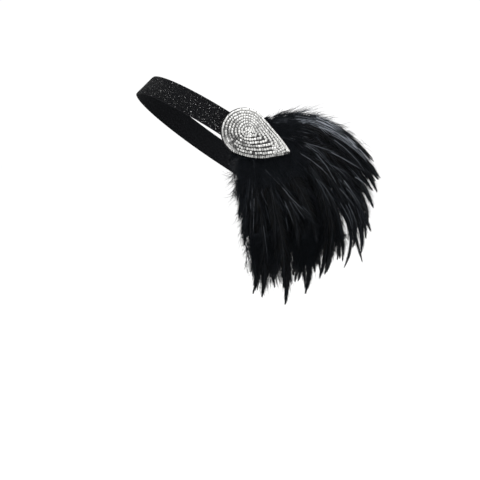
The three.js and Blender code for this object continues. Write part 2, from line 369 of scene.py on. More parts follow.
PAD_LOW = BAND_THICKNESS + BAND_TWIST + SEAM_GAP
PAD_HIGH = PAD_LOW + PAD_THICKNESS
PATCH_LOW = PAD_HIGH + SEAM_GAP
PATCH_HIGH = PATCH_LOW + FELT_THICKNESS
BEADS_LOW = PATCH_HIGH + SEAM_GAP
ROUND = PATCH_WIDTH / 2
EYE = np.array([0, EYE_RISE])

SEAT, SEAT_ALONG, SEAT_ACROSS, SEAT_OUT = loop_station(np.array(PATCH_STATION))
# The radius of the loop's curve there.
SEAT_CURVE = math.hypot(
    LOOP_HALF_WIDTH * math.cos(PATCH_STATION), LOOP_HALF_LENGTH * math.sin(PATCH_STATION)
) ** 3 / (LOOP_HALF_WIDTH * LOOP_HALF_LENGTH)


def fall(distance, curve, slope):
    """How far the sheet falls: by a hyperbola with this radius at its top and this slope far out."""
    knee = curve * slope
    return knee * slope * (np.hypot(1, distance / knee) - 1)


def on_sheet(place, lift):
    """The point over a place on the sheet, lifted over the band's inner face.

    A place is how far it lies from the patch's seat, back along the band and up across it. The
    sheet falls away from the seat along the band and, less, across it.
    """
    back, up = place[..., :1], place[..., 1:]
    fallen = fall(back, SEAT_CURVE, SIDE_SLOPE) + fall(up, DOWN_CURVE, DOWN_SLOPE)
    height = np.asarray(lift)[..., None] - fallen
    return SEAT + back * SEAT_ALONG + up * SEAT_ACROSS + height * SEAT_OUT


def bowed_side(radius):
    """Centre of a side's circle and the angles at which it touches the round end and the point.

    The centre is one radius from the point, and that less the round end's radius from the
    round end's own centre.
    """
    x = (PATCH_LENGTH**2 - 2 * radius * ROUND) / (2 * (PATCH_LENGTH - ROUND))
    y = math.sqrt(radius**2 - (PATCH_LENGTH - x) ** 2)
    return x, y, math.atan2(y, ROUND - x), math.atan2(y, PATCH_LENGTH - x)


def walked_along(line):
    """How far along a line on the sheet each of its points lies."""
    return np.concatenate([[0], np.cumsum(np.linalg.norm(np.diff(line, axis=0), axis=-1))])


def places_at(stops, line, walked):
    """Places at these distances along a line, given how far along it each of its points lies."""
    return np.stack([np.interp(stops, walked, line[:, axis]) for axis in (0, 1)], axis=-1)


ARC_POINTS = 400


def patch_outline(count, setback=EYE_SETBACK, shift=EYE_SHIFT):
    """The patch's outline as evenly spaced reaches and angles seen from the eye or another hub.

    It runs from the point along the top side, round the round end and back along the foot.
    """
    top_x, top_y, top_touch, top_point = bowed_side(PATCH_TOP_RADIUS)
    foot_x, foot_y, foot_touch, foot_point = bowed_side(PATCH_FOOT_RADIUS)
    arcs = [
        (top_x, -top_y, PATCH_TOP_RADIUS, top_point, top_touch),
        (ROUND, 0, ROUND, top_touch, 2 * np.pi - foot_touch),
        (foot_x, foot_y, PATCH_FOOT_RADIUS, -foot_touch, -foot_point),
    ]
    runs = []
    for x, y, radius, start, end in arcs:
        angle = np.linspace(start, end, ARC_POINTS)
        runs.append([x, y] + radius * way_at(angle))
    line = np.concatenate(runs) - [setback, shift]
    walked = walked_along(line)
    stops = np.linspace(0, walked[-1], count, endpoint=False)
    x, y = places_at(stops, line, walked).T
    return np.hypot(x, y), np.arctan2(y, x)


def patch_ring(outline, share, outset):
    """Places on a ring round the eye, at a share of the outline moved out by the outset.

    Rings near the eye are rounder: their reach blends from the outline's to the round end's.
    """
    reach, angle = outline
    rounding = (1 - np.asarray(share)) ** 2
    full = reach * (1 - rounding) + ROUND * rounding
    return EYE + (share * (full + outset))[..., None] * way_at(angle + PATCH_TURN)


FELT_SIDES = 180
FELT_FACE_SHARES = np.linspace(0.03, 0.97, 12)
FELT_RIM = np.radians(np.linspace(-80, 80, 9))


def felt_plate(size, low, high):
    """A plate with a rounded rim: face rings, a half circle of rim rings, and face rings back."""
    half = (high - low) / 2
    shares = np.concatenate([FELT_FACE_SHARES, np.ones(len(FELT_RIM)), FELT_FACE_SHARES[::-1]])
    flat = np.full(len(FELT_FACE_SHARES), -half)
    outsets = np.concatenate([flat, half * (np.cos(FELT_RIM) - 1), flat])
    rises = np.concatenate([flat, half * np.sin(FELT_RIM), -flat])
    places = patch_ring(patch_outline(FELT_SIDES), size * shares[:, None], outsets[:, None])
    return capped(on_sheet(places, (low + high) / 2 + rises[:, None]))


# Matt black wool felt with a soft bloom.
FELT_COLOURS = [(0.3, 0.004), (0.7, 0.012)]
black_felt = fibrous_material(
    "black_felt",
    FELT_COLOURS,
    scale=1500.0,
    detail=4.0,
    strength=0.6,
    Roughness=0.95,
    Specular_IOR_Level=0.05,
)
felt_rings = 2 * len(FELT_FACE_SHARES) + len(FELT_RIM)
felt_faces = tube_faces(felt_rings, FELT_SIDES)
pad_points = felt_plate(PAD_SHARE, PAD_LOW, PAD_HIGH)
add_piece("quill_pad", pad_points, felt_faces, black_felt, "feather_fan")
felt_points = felt_plate(1, PATCH_LOW, PATCH_HIGH)
add_piece("patch_felt_teardrop", felt_points, felt_faces, black_felt, "patch_felt")

# The feathers
# Black dyed hackle feathers, their quills glued in a fan on the pad. Each has a thin glossy
# shaft, long barbs swept towards the tip, and loose down at its foot, next to the patch.
FEATHER_LENGTH = 0.14
FEATHER_WIDTH = 0.021
FEATHER_ARCH = 0.1
FAN_DEPTH = 0.02
LIFT_START = 0.02
LIFT_POWER = 1.5
ROOT_RADIUS = 0.006
BEND_SHARE = 0.52
QUILL_HEIGHT = (PAD_LOW + PAD_HIGH) / 2
Feather = namedtuple("Feather", "out tip reach wide lift down grey bow")

# One row for each feather: the angles at which it leaves the patch and of its tip, seen from the
# eye in degrees, its reach, width and lift as shares of the three sizes above, the share of its
# length that is downy, how grey it is, how far it bows aside before it hooks back to its tip, in
# millimetres, and how many shorter feathers lie along it. A grey one has lighter barbs, more
# streaks and a lighter shaft. Past 1, its barbs are light beyond its foot, its shaft is dark.
# The grey is painted light: high where the fan's top and right catch the light, as painted sheen,
# and low on the lower feathers, as painted shade.
# The rows that show come first, then those under them and between their tips, two with the sheen
# along the fan's top, and the eight that cover the rest.
FEATHERS = [
    # out, tip, reach, wide, lift, down, grey, bow, mates
    (64.5, 31.5, 0.59, 0.35, 0.0, 0.6, 1.5, 0.5, 1),
    (60.5, 22, 0.725, 0.3, 0.2, 0.4, 0.2, 0.5, 1),
    (60, 21, 0.73, 0.38, 0.3, 0.3, 0.3, 0.5, 1),
    (61, 15, 0.80, 0.7, 0.1, 0.4, 1.0, 0.5, 1),
    (57, 14, 0.78, 0.8, 0.8, 0.4, 0.5, 1.0, 1),
    (53, 9, 0.80, 0.9, 0.7, 0.3, 0.5, 3.0, 2),
    (39, 9, 0.78, 0.9, 0.4, 0.3, 1.0, 0.0, 2),
    (32, 3, 0.83, 0.9, 0.35, 0.3, 1.0, 3.0, 2),
    (16, -3, 0.86, 0.7, 0.0, 0.3, 0.2, 8.5, 1),
    (30, -5, 0.89, 0.9, 0.6, 0.3, 1.0, 0.0, 2),
    (34, -15, 0.97, 0.5, 0.85, 0.3, 0.6, -3.0, 0),
    (15, -13, 0.94, 0.9, 0.3, 0.3, 0.9, 8.0, 1),
    (7, -21, 0.93, 0.45, 0.6, 0.3, 0.7, 12.0, 0),
    (11, -20, 0.90, 0.6, 0.45, 0.3, 0.3, 4.0, 0),
    (14, -21, 0.88, 0.6, 0.15, 0.3, 0.2, 3.5, 0),
    (19, -28, 0.91, 1.0, 0.25, 0.3, 0.2, 5.0, 1),
    (21, -31, 0.91, 1.0, 0.75, 0.3, 0.2, 4.5, 1),
    (-10, -31, 0.87, 0.9, 0.5, 0.3, 0.2, 0.0, 2),
    (-18, -37, 0.96, 0.9, 0.4, 0.3, 0.2, 4.5, 3),
    (-7, -39, 0.88, 0.9, 0.1, 0.3, 0.2, 0.0, 2),
    (-35, -45, 0.98, 1.0, 0.8, 0.4, 0.2, 2.5, 3),
    (-57, -47, 0.88, 0.8, 0.3, 0.9, 0.2, 3.0, 2),
    (-51, -52.5, 0.92, 1.0, 0.6, 0.3, 0.2, 3.5, 2),
    (-55.5, -55.3, 0.90, 0.8, 0.2, 0.5, 0.2, 5.5, 4),
    (-56, -55.5, 0.80, 0.6, 0.3, 0.9, 0.6, 2.0, 0),
    (-56, -56.5, 0.68, 0.7, 0.45, 0.9, 0.55, 2.0, 1),
    (-60, -59.7, 0.63, 0.8, 0.3, 0.6, 0.55, 1.0, 1),
    (-61, -61.5, 0.56, 0.7, 0.1, 0.9, 0.55, 1.0, 2),
    (-66, -64.5, 0.48, 0.6, 0.2, 0.6, 0.3, 0.0, 1),
    (-72, -68, 0.39, 0.5, 0.3, 0.9, 0.5, 0.0, 1),
    (-97, -93, 0.22, 0.35, 0.1, 0.4, 0.1, 0.0, 2),
    (47, 12, 0.78, 0.8, 0.1, 0.3, 0.2, 1.0, 1),
    (44, 5, 0.80, 0.9, 0.2, 0.3, 0.2, 1.0, 0),
    (30, -1, 0.84, 0.8, 0.2, 0.3, 0.2, 2.0, 1),
    (25, -8, 0.76, 0.6, 0.2, 0.3, 0.2, 3.0, 0),
    (2, -20, 0.88, 0.9, 0.3, 0.3, 0.1, 3.0, 1),
    (14, -24, 0.80, 1.0, 0.3, 0.3, 0.1, 0.0, 0),
    (5, -29, 0.84, 1.0, 0.3, 0.3, 0.1, 1.0, 0),
    (-2, -34, 0.84, 1.1, 0.5, 0.3, 0.1, 2.0, 0),
    (-14, -39, 0.84, 1.1, 0.2, 0.3, 0.1, 1.0, 0),
    (-28, -43, 0.83, 1.1, 0.5, 0.3, 0.1, 2.0, 0),
    (-37, -48, 0.76, 1.0, 0.3, 0.8, 0.1, 2.0, 0),
    (-45, -51, 0.78, 1.0, 0.5, 0.6, 0.1, 2.0, 0),
    (61, 21.3, 0.71, 0.35, 0.2, 0.3, 0.8, 1.7, 0),
    (49, 13, 0.77, 0.8, 0.5, 0.3, 0.3, 1.0, 0),
    (26, -8, 0.90, 0.7, 0.3, 0.3, 0.9, 5.4, 1),
    (-16, -21.5, 0.84, 0.5, 0.4, 0.3, 0.1, 6.0, 0),
    (-16, -26.5, 0.89, 0.5, 0.4, 0.3, 0.1, 7.5, 0),
    (-25, -28.8, 0.88, 0.6, 0.3, 0.3, 0.1, 4.5, 0),
    (-36, -36.2, 0.93, 0.55, 0.3, 0.3, 0.1, 4.5, 0),
    (-49, -41, 0.88, 0.5, 0.6, 0.3, 0.1, 4.5, 0),
    (-64, -53.5, 0.88, 0.3, 0.3, 0.3, 0.1, 2.0, 0),
    (42, 14, 0.78, 0.6, 0.5, 0.3, 0.2, 2.5, 0),
    (-22, -36, 0.94, 0.5, 0.3, 0.3, 0.1, 6.5, 0),
    (-3, -27, 0.90, 0.5, 0.4, 0.3, 0.1, 8.0, 0),
    (60, 19.5, 0.69, 0.35, 0.95, 0.3, 1.4, 1.5, 1),
    (64, 23.5, 0.63, 0.3, 0.9, 0.6, 1.4, 1.0, 1),
    (28, 15, 0.72, 1.1, 0.85, 0.3, 0.6, 0.0, 0),
    (19, -5, 0.70, 1.0, 1.0, 0.4, 0.45, 2.5, 0),
    (18, -15, 0.80, 0.8, 0.9, 0.4, 0.5, 0.5, 0),
    (-6, -25, 0.72, 1.1, 1.0, 0.4, 0.2, 1.0, 0),
    (-32, -20, 0.66, 0.9, 1.0, 0.4, 0.3, 0.0, 0),
    (-18, -34, 0.71, 1.1, 0.95, 0.4, 0.3, 1.0, 0),
    (-34, -45, 0.66, 1.1, 1.0, 0.4, 0.25, 1.0, 0),
    (-52, -53, 0.51, 1.0, 0.8, 0.5, 0.3, 1.0, 0),
]

VANE_STOPS, VANE_HALF, WEB_HALF, BARB_SWEEP = np.transpose(
    [
        # along, half width of the vane and of its closed middle as shares, sweep of a barb in metres
        (0.00, 0.12, 0.05, 0.0020),
        (0.14, 0.45, 0.26, 0.0045),
        (0.30, 0.85, 0.58, 0.0095),
        (0.50, 1.00, 0.75, 0.0140),
        (0.70, 0.95, 0.56, 0.0180),
        (0.85, 0.75, 0.32, 0.0200),
        (0.94, 0.45, 0.18, 0.0200),
        (1.00, 0.05, 0.02, 0.0200),
    ]
)


def vane(along, column):
    """A column of the vane's table at shares along the feather."""
    return np.interp(along, VANE_STOPS, column)


MILLIMETRE = 0.001
# The most that a share's cube times what is left of one reaches.
BOW_PEAK = 27 / 256


def shaft_line(feather, along):
    """Places and headings along a shaft, from the eye.

    A quadratic curve runs from root to tip. The bow moves it aside by the cube of the share
    along it times the share that is left, scaled from that product's peak to the feather's bow.
    """
    leaving = way_at(math.radians(feather.out))
    root = ROOT_RADIUS * leaving
    end = feather.reach * FEATHER_LENGTH * way_at(math.radians(feather.tip))
    aim = leaving * (ROOT_RADIUS + BEND_SHARE * np.linalg.norm(end - root))
    bow = 1 / BOW_PEAK * MILLIMETRE * feather.bow * left_of(unit(end - aim))
    t = np.asarray(along)[..., None]
    spot = (1 - t) ** 2 * root + 2 * t * (1 - t) * aim + t**2 * end + bow * t**3 * (1 - t)
    return spot, unit(2 * (1 - t) * (aim - root) + 2 * t * (end - aim) + bow * t**2 * (3 - 4 * t))


def beside_shaft(feather, along, aside):
    """Spots on the sheet at shares along a shaft, moved aside from it to its left."""
    spot, heading = shaft_line(feather, along)
    return spot + left_of(heading) * aside[..., None]


def feather_place(spot, layer, height):
    """The point over a spot of the sheet, lifted to its layer and by a height of its own.

    A layer is a share of the fan's depth. Its lift grows by a power of the distance from the
    eye, from where the patch ends.
    """
    past = np.maximum(0, np.linalg.norm(spot, axis=-1) - LIFT_START) / (FEATHER_LENGTH - LIFT_START)
    lift = QUILL_HEIGHT + layer * FAN_DEPTH * past**LIFT_POWER
    return on_sheet(EYE + spot, lift + height)


SHAFT_RINGS = 20
SHAFT_SIDES = 6
SHAFT_RADIUS = 0.00019
SHAFT_END = 0.985
SHAFT_TIP_SHARE = 0.25
SHAFT_RISE = 0.00015


def shaft(feather):
    """The shaft: a round rod along the feather's line that tapers evenly to its tip."""
    along = np.linspace(0, SHAFT_END, SHAFT_RINGS)[:, None]
    radius = SHAFT_RADIUS * (1 - (1 - SHAFT_TIP_SHARE) * along)
    turn = full_turn(SHAFT_SIDES)
    spots = beside_shaft(feather, along, radius * np.cos(turn))
    return capped(feather_place(spots, feather.lift, SHAFT_RISE + radius * np.sin(turn)))


WEB_RINGS = 26
WEB_SPAN = (0.03, 0.99)
WEB_THICKNESS = 0.00022
WEB_DROP = 0.00025
WEB_DOWN_LOSS = 0.7
# The web's section, as shares of its half width to the left and of its half thickness up.
WEB_LEFT = np.array([1, 0.6, 0, -0.6, -1, -0.6, 0, 0.6])
WEB_UP = np.array([0, 1, 1, 1, 0, -1, -1, -1])


def web(feather):
    """The closed middle of the vane, where the barbs cling together: a thin lens, arched across.

    Its half width follows the vane's table and is less on a downy feather.
    """
    along = np.linspace(*WEB_SPAN, WEB_RINGS)[:, None]
    half = (1 - WEB_DOWN_LOSS * feather.down) * vane(along, WEB_HALF) * feather.wide * FEATHER_WIDTH / 2
    aside = half * WEB_LEFT
    rise = WEB_THICKNESS / 2 * WEB_UP - WEB_DROP - FEATHER_ARCH * np.abs(aside)
    return capped(feather_place(beside_shaft(feather, along, aside), feather.lift, rise))


BARB_STEPS = np.array([0, 0.3, 0.65, 1])
STRAND_SECTION = np.radians([90, 210, 330])
STRAND_TAPER = 0.75
STRAND_FLATNESS = 0.7


def strands(line, layer, rise, radius, tone):
    """Three-sided strands along lines on the sheet, each tapering to a point at its end.

    Each station has a triangle of corners round it, across the line and up. The radius shrinks
    with the square of the share along the line. Every corner has its strand's tone.
    """
    count, steps = line.shape[:2]
    across = left_of(unit(np.gradient(line, axis=1)))[:, :, None]
    radius = radius * (1 - STRAND_TAPER * BARB_STEPS**2)
    corners = line[:, :, None] + across * (radius[:, None] * np.cos(STRAND_SECTION))[..., None]
    heights = rise[:, :, None] + STRAND_FLATNESS * radius[:, None] * np.sin(STRAND_SECTION)
    sides = feather_place(corners[:, :-1], layer, heights[:, :-1]).reshape(count, -1, 3)
    points = np.concatenate([sides, feather_place(line[:, -1:], layer, rise[:, -1:])], axis=1)
    # The walls alone, without the fans that would cap both ends.
    walls = tube_faces(steps - 1, 3)[: 6 * (steps - 2)]
    last, tip = 3 * (steps - 2), 3 * (steps - 1)
    ends = np.array([[0, 2, 1], [last, last + 1, tip], [last + 1, last + 2, tip], [last + 2, last, tip]])
    faces = copied(np.concatenate([walls, ends]), tip + 1, count)
    return points.reshape(-1, 3), faces, np.repeat(tone, tip + 1)


BARB_PITCH = 0.0006
BARB_RADIUS = 0.00013
BARB_BOW = 1.6
BARB_SPAN = (0.04, 0.99)
BARB_STRAY = 0.3
BARB_DOWN_LOSS = 0.4
BARB_TIP_SHARES = (0.7, 1.02)
FULLNESS = 0.72
FULLNESS_LIMITS = (0.2, 1.5)

# Barbs are loose at a downy foot, and less so along the feather. Loose ones reach further out.
LOOSE_START = 1.5
LOOSE_FALL = 2
LOOSE_LEAST = 0.08
LOOSE_POWER = 1.5
LOOSE_REACH = 0.0012

# A clump has this much of the shaft. The sides' clumps are staggered, and have their own draws.
CLUMP_PITCH = 0.0045
CLUMP_PULL = 0.55
CLUMP_STAGGER = 0.4
CLUMP_WANDER = 0.25
CLUMP_WAVES = 9
CLUMP_DRAWS = 140
LEFT_CLUMPS_FROM = 60

# A few barbs, more of them where it is loose, stand out past the edge of the vane.
WILD_CHANCE = 0.04
WILD_CHANCE_LOOSE = 0.2
WILD_SHARES = (1.2, 2.2)

# How far barbs stray with their clump, each by itself, and more by itself where it is loose: in
# their sweep and fullness, as shares, and in their rise, in metres.
SWEEP_SCATTER = (0.1, 0.05, 0.45)
FULLNESS_SCATTER = (0.08, 0.2, 0.2)
RISE_SCATTER = (0.0004, 0.0003, 0.0022)


def scattered(scatter, clumps, own, loose):
    """The clumps' draws and the barbs' own ones, each times its share of the scatter."""
    together, alone, loosely = scatter
    return together * clumps + (alone + loosely * loose) * own


# A tone of 0 is the deepest black and 1 the lightest grey. Up to BLACK_TONE a barb is black.
BLACK_TONE = 0.78
BARB_TONE = 0.12
GREY_GAIN = 0.35
BARB_TONE_SPREAD = 0.15
CLUMP_TONE_SPREAD = 0.13
SHEEN_TONE_SPREAD = 0.6
SHEEN_LIMIT_GAIN = 0.3
SHEEN_FADE = (0.3, 0.45)


def barb_tones(feather, foot, clumps, own):
    """A tone for each barb, which grows with its feather's grey and strays with its clump.

    What the grey has over 1 is painted sheen. It comes in evenly past the feather's foot, adds
    to the tones and to how far the clumps stray, and raises the lightest tone.
    """
    shine = max(0, feather.grey - 1)
    sheen = shine * np.interp(foot, SHEEN_FADE, [0, 1])
    tone = BARB_TONE + GREY_GAIN * (min(1, feather.grey) + sheen)
    tone = tone + (CLUMP_TONE_SPREAD + SHEEN_TONE_SPREAD * sheen) * clumps + BARB_TONE_SPREAD * own
    return np.clip(tone, 0, BLACK_TONE + SHEEN_LIMIT_GAIN * shine)


def barbs(feather, random):
    """The barbs of one feather, as strands from its shaft to the edge of its vane.

    A barb's place along the shaft grows evenly, and its place beside the shaft grows as one
    less a power of what is left, so it leaves at a slant and bends towards the tip. Barbs cling
    in clumps that share a length, a lift and a tone and whose ends are drawn together.
    """
    length = feather.reach * FEATHER_LENGTH
    count = int(length / BARB_PITCH * (1 - BARB_DOWN_LOSS * feather.down))
    foot = np.tile(np.linspace(*BARB_SPAN, count), 2) + random.normal(0, BARB_STRAY / count, 2 * count)
    side = np.repeat([1.0, -1.0], count)
    loose = np.clip(LOOSE_START - LOOSE_FALL * foot / feather.down, LOOSE_LEAST, 1) ** LOOSE_POWER
    own = random.normal(0, 1, (4, 2 * count))
    walked = foot * length / CLUMP_PITCH + CLUMP_STAGGER * side + CLUMP_WANDER * np.sin(CLUMP_WAVES * foot)
    clump = walked.astype(int) + LEFT_CLUMPS_FROM * (side > 0)
    shared = random.normal(0, 1, (3, CLUMP_DRAWS))[:, clump]
    drawn = (walked % 1 - 0.5) * CLUMP_PITCH * CLUMP_PULL * (1 - loose)
    ahead = vane(foot, BARB_SWEEP) * (1 + scattered(SWEEP_SCATTER, shared[0], own[0], loose)) - drawn
    tip = foot + np.minimum(ahead / length, (1 - foot) * random.uniform(*BARB_TIP_SHARES, 2 * count))
    fullness = FULLNESS + scattered(FULLNESS_SCATTER, shared[1], own[1], loose)
    wild = random.random(2 * count) < WILD_CHANCE + WILD_CHANCE_LOOSE * loose
    wildness = np.where(wild, random.uniform(*WILD_SHARES, 2 * count), 1)
    fullness = np.clip(fullness, *FULLNESS_LIMITS) * wildness
    half = vane(tip, VANE_HALF) * feather.wide * FEATHER_WIDTH / 2 * fullness + LOOSE_REACH * loose
    along = foot[:, None] + (tip - foot)[:, None] * BARB_STEPS
    aside = half[:, None] * (1 - (1 - BARB_STEPS) ** BARB_BOW)
    line = beside_shaft(feather, along, side[:, None] * aside)
    stray = scattered(RISE_SCATTER, shared[2], own[2], loose)
    rise = stray[:, None] * BARB_STEPS**2 - FEATHER_ARCH * aside
    tones = barb_tones(feather, foot, shared[1], own[3])
    return strands(line, feather.lift, rise, BARB_RADIUS, tones)


STREAK_RADIUS = 0.00016
STREAK_RISE = 0.0008
STREAK_COUNT = 9
STREAK_STARTS = (0.15, 0.7)
STREAK_SHEEN_START = 0.38
STREAK_LENGTHS = (0.1, 0.35)
STREAK_END = 0.97
STREAK_ASIDE = 0.4
STREAK_DRIFT = 0.25
STREAK_TONE = 0.79
STREAK_TONE_GAIN = 0.16


def streaks(feather, random):
    """Long single barbs that lie along the feather, in light tones of painted sheen, more of them on a
    grey one.

    Each runs between two shares of the feather's length. Its distance from the shaft starts at
    a random share of the vane's half width and changes evenly.
    """
    count = 1 + int(STREAK_COUNT * feather.grey**2)
    start = random.uniform(*STREAK_STARTS, count)
    if feather.grey > 1:
        start = np.maximum(start, STREAK_SHEEN_START)
    run = np.minimum(random.uniform(*STREAK_LENGTHS, count), STREAK_END - start)
    along = start[:, None] + run[:, None] * BARB_STEPS
    share = random.normal(0, STREAK_ASIDE, count)[:, None]
    share = share + random.normal(0, STREAK_DRIFT, count)[:, None] * BARB_STEPS
    aside = share * vane(along, VANE_HALF) * feather.wide * FEATHER_WIDTH / 2
    line = beside_shaft(feather, along, aside)
    rise = STREAK_RISE - FEATHER_ARCH * np.abs(aside)
    # Painted sheen: a streak's tone lies in the light greys.
    tone = STREAK_TONE + STREAK_TONE_GAIN * min(1, feather.grey) * random.random(count) ** 3
    return strands(line, feather.lift, rise, STREAK_RADIUS, tone)


HIGHLIGHT_BARB_RADIUS = 0.00017

# Single barbs in light tones, painted highlights, lie across the rest. A row gives the angle and
# the share of the feathers' length, seen from the eye, at which one starts, the same for its end,
# how far it bows aside in millimetres, and its tone. The first ones are the thin lines of painted
# highlight along the fan's top.
HIGHLIGHT_BARBS = [
    # start, start share, end, end share, bow, tone
    (54, 0.26, 46, 0.36, 0.2, 0.86),
    (47, 0.375, 39.5, 0.455, 0.0, 0.95),
    (44.5, 0.37, 34.5, 0.49, 0.5, 0.97),
    (43, 0.39, 38, 0.43, 0.0, 0.95),
    (42.5, 0.40, 35.5, 0.485, 0.0, 0.97),
    (39, 0.41, 35, 0.465, 0.0, 0.96),
    (38.5, 0.38, 34, 0.475, 0.0, 0.98),
    (42, 0.43, 36, 0.49, 0.0, 0.95),
    (40, 0.46, 35, 0.52, 0.0, 0.90),
    (35, 0.45, 34, 0.47, 0.0, 0.98),
    (32, 0.505, 25, 0.615, 1.1, 0.95),
    (31, 0.545, 25, 0.62, 0.0, 0.92),
    (30, 0.565, 27, 0.605, 0.0, 0.92),
    (27, 0.58, 25, 0.615, 0.0, 1.0),
    (25.5, 0.62, 21, 0.685, 0.0, 0.95),
    (22.5, 0.66, 20, 0.70, 0.0, 0.93),
    (44, 0.29, 44, 0.31, 0.0, 0.97),
    (29, 0.47, 15, 0.69, 1.9, 0.86),
    (23, 0.32, 20, 0.53, 0.6, 0.84),
    (11, 0.30, 4, 0.53, 1.7, 0.86),
    (12, 0.48, 11, 0.62, 0.5, 0.82),
    (12, 0.50, 8, 0.62, 0.9, 0.82),
    (11, 0.64, 10, 0.71, 0.3, 0.90),
    (7, 0.59, 4, 0.66, 0.0, 0.89),
    (4, 0.62, 0, 0.73, 0.9, 0.83),
    (4, 0.65, 0, 0.76, 0.6, 0.82),
    (2, 0.59, -2, 0.74, 0.6, 0.84),
    (-1, 0.47, -8, 0.66, 1.8, 0.82),
    (-2, 0.68, -8, 0.82, 0.7, 0.83),
    (-3, 0.67, -9, 0.79, 1.2, 0.82),
    (-4, 0.64, -10, 0.80, 1.3, 0.83),
    (-26.5, 0.35, -20.5, 0.57, -0.9, 0.84),
    (-21, 0.50, -20, 0.59, 0.3, 0.81),
    (-25, 0.45, -24, 0.58, 0.0, 0.82),
    (-27, 0.44, -27, 0.58, 0.1, 0.81),
    (-30, 0.425, -31, 0.575, 0.0, 0.82),
    (-31, 0.445, -30, 0.50, 0.0, 0.82),
    (-34, 0.51, -36, 0.59, 0.5, 0.81),
    (-36.5, 0.215, -26.5, 0.35, 0.0, 0.83),
    (-42, 0.26, -39, 0.33, 0.1, 0.81),
    (-47, 0.33, -43, 0.43, -0.4, 0.81),
    (-53, 0.165, -46.5, 0.195, 0.0, 0.84),
    (-59, 0.25, -60, 0.36, 0.2, 0.81),
]


def highlight_barbs():
    """The table's barbs, each a straight line from start to end with a bow aside.

    The bow moves it aside by four times the share along it times the share that is left.
    """
    start_angle, start_reach, end_angle, end_reach, bow, tone = np.array(HIGHLIGHT_BARBS).T
    start = FEATHER_LENGTH * start_reach[:, None] * way_at(np.radians(start_angle))
    end = FEATHER_LENGTH * end_reach[:, None] * way_at(np.radians(end_angle))
    share = BARB_STEPS[:, None]
    aside = 4 * MILLIMETRE * bow[:, None, None] * left_of(unit(end - start))[:, None]
    line = start[:, None] + (end - start)[:, None] * share + aside * share * (1 - share)
    rise = np.full(line.shape[:2], STREAK_RISE)
    return strands(line, 1.0, rise, HIGHLIGHT_BARB_RADIUS, tone)


def joined(parts):
    """Several meshes as one: their points, and their faces renumbered."""
    starts = np.cumsum([0] + [len(part[0]) for part in parts[:-1]])
    faces = np.concatenate([part[1] + start for part, start in zip(parts, starts)])
    return np.concatenate([part[0] for part in parts]), faces


# Dyed black barbs with a cool gloss. The tone of a few lies past the blacks, in the greys of
# painted sheen.
BARB_COLOURS = [
    (0.1, (0.0004, 0.0005, 0.0007)),
    (BLACK_TONE, (0.011, 0.0125, 0.0155)),
    (0.8, (0.02, 0.024, 0.029)),
    (1.0, (0.42, 0.45, 0.5)),
]
BARB_TINT = (0.75, 0.87, 1.0, 1.0)
barb_black = toned_material(
    "black_feather", "tone", BARB_COLOURS, Roughness=0.34, Specular_IOR_Level=0.06, Specular_Tint=BARB_TINT
)

# The vane's closed middle is black, with the fine lines of the barbs in it.
WEB_COLOURS = [(0.35, 0.0008), (0.7, 0.0025)]
web_black = fibrous_material(
    "feather_web",
    WEB_COLOURS,
    scale=900.0,
    detail=3.0,
    strength=0.5,
    Roughness=0.55,
    Specular_IOR_Level=0.05,
)

# The shafts are of dyed horn that shines. They are black on most feathers; on a few a grey
# is painted along them as a highlight.
SHAFT_COLOURS = [(0.0, (0.0015, 0.0018, 0.0025)), (0.5, (0.015, 0.017, 0.021)), (1.0, (0.75, 0.78, 0.82))]
shaft_horn = toned_material("feather_shaft", "grey", SHAFT_COLOURS, Roughness=0.3, Specular_IOR_Level=0.25)

MATE_SHORTER = 0.09
MATE_GREY = 0.5
# How far a mate strays from its feather, in its reach, lift, bow and two angles.
MATE_SPREAD = np.array([0.02, 0.15, 1.2, 2.5, 2])


def whole_fan(random):
    """The table's feathers, and along the long ones shorter mates that each lean their own way."""
    whole = []
    for *row, mates in FEATHERS:
        feather = Feather(*row)
        whole.append(feather)
        for mate in range(1, mates + 1):
            reach, lift, bow, out, tip = MATE_SPREAD * random.normal(0, 1, 5)
            own = feather._replace(
                out=feather.out + out,
                tip=feather.tip + tip,
                reach=feather.reach * (1 - MATE_SHORTER * mate + reach),
                lift=min(1, max(0, feather.lift + lift)),
                grey=MATE_GREY * feather.grey,
                bow=feather.bow + bow,
            )
            whole.append(own)
    return whole


fan = sorted(whole_fan(np.random.default_rng(8)), key=lambda feather: feather.lift)


def add_strands(name, parts):
    """Groups of strands as one piece of black barbs."""
    points, faces = joined([part[:2] for part in parts])
    tones = np.concatenate([part[2] for part in parts])
    add_piece(name, points, faces, barb_black, "feather_fan", {"tone": tones})


FAN_LAYERS = 4
BARB_SEED = 40
STREAK_SEED = 70
LAYER_SEEDS = 100
for layer in range(FAN_LAYERS):
    first, last = layer * len(fan) // FAN_LAYERS, (layer + 1) * len(fan) // FAN_LAYERS
    made = []
    for strand_kind, seed in [(barbs, BARB_SEED), (streaks, STREAK_SEED)]:
        for own_seed, feather in enumerate(fan[first:last], seed + LAYER_SEEDS * layer):
            made.append(strand_kind(feather, np.random.default_rng(own_seed)))
    add_strands(f"feather_barbs_{layer + 1}", made)

add_strands("feather_highlight_barbs", [highlight_barbs()])

one_web = tube_faces(WEB_RINGS, len(WEB_LEFT))
web_points, web_faces = joined([(web(feather), one_web) for feather in fan])
add_piece("feather_webs", web_points, web_faces, web_black, "feather_fan")
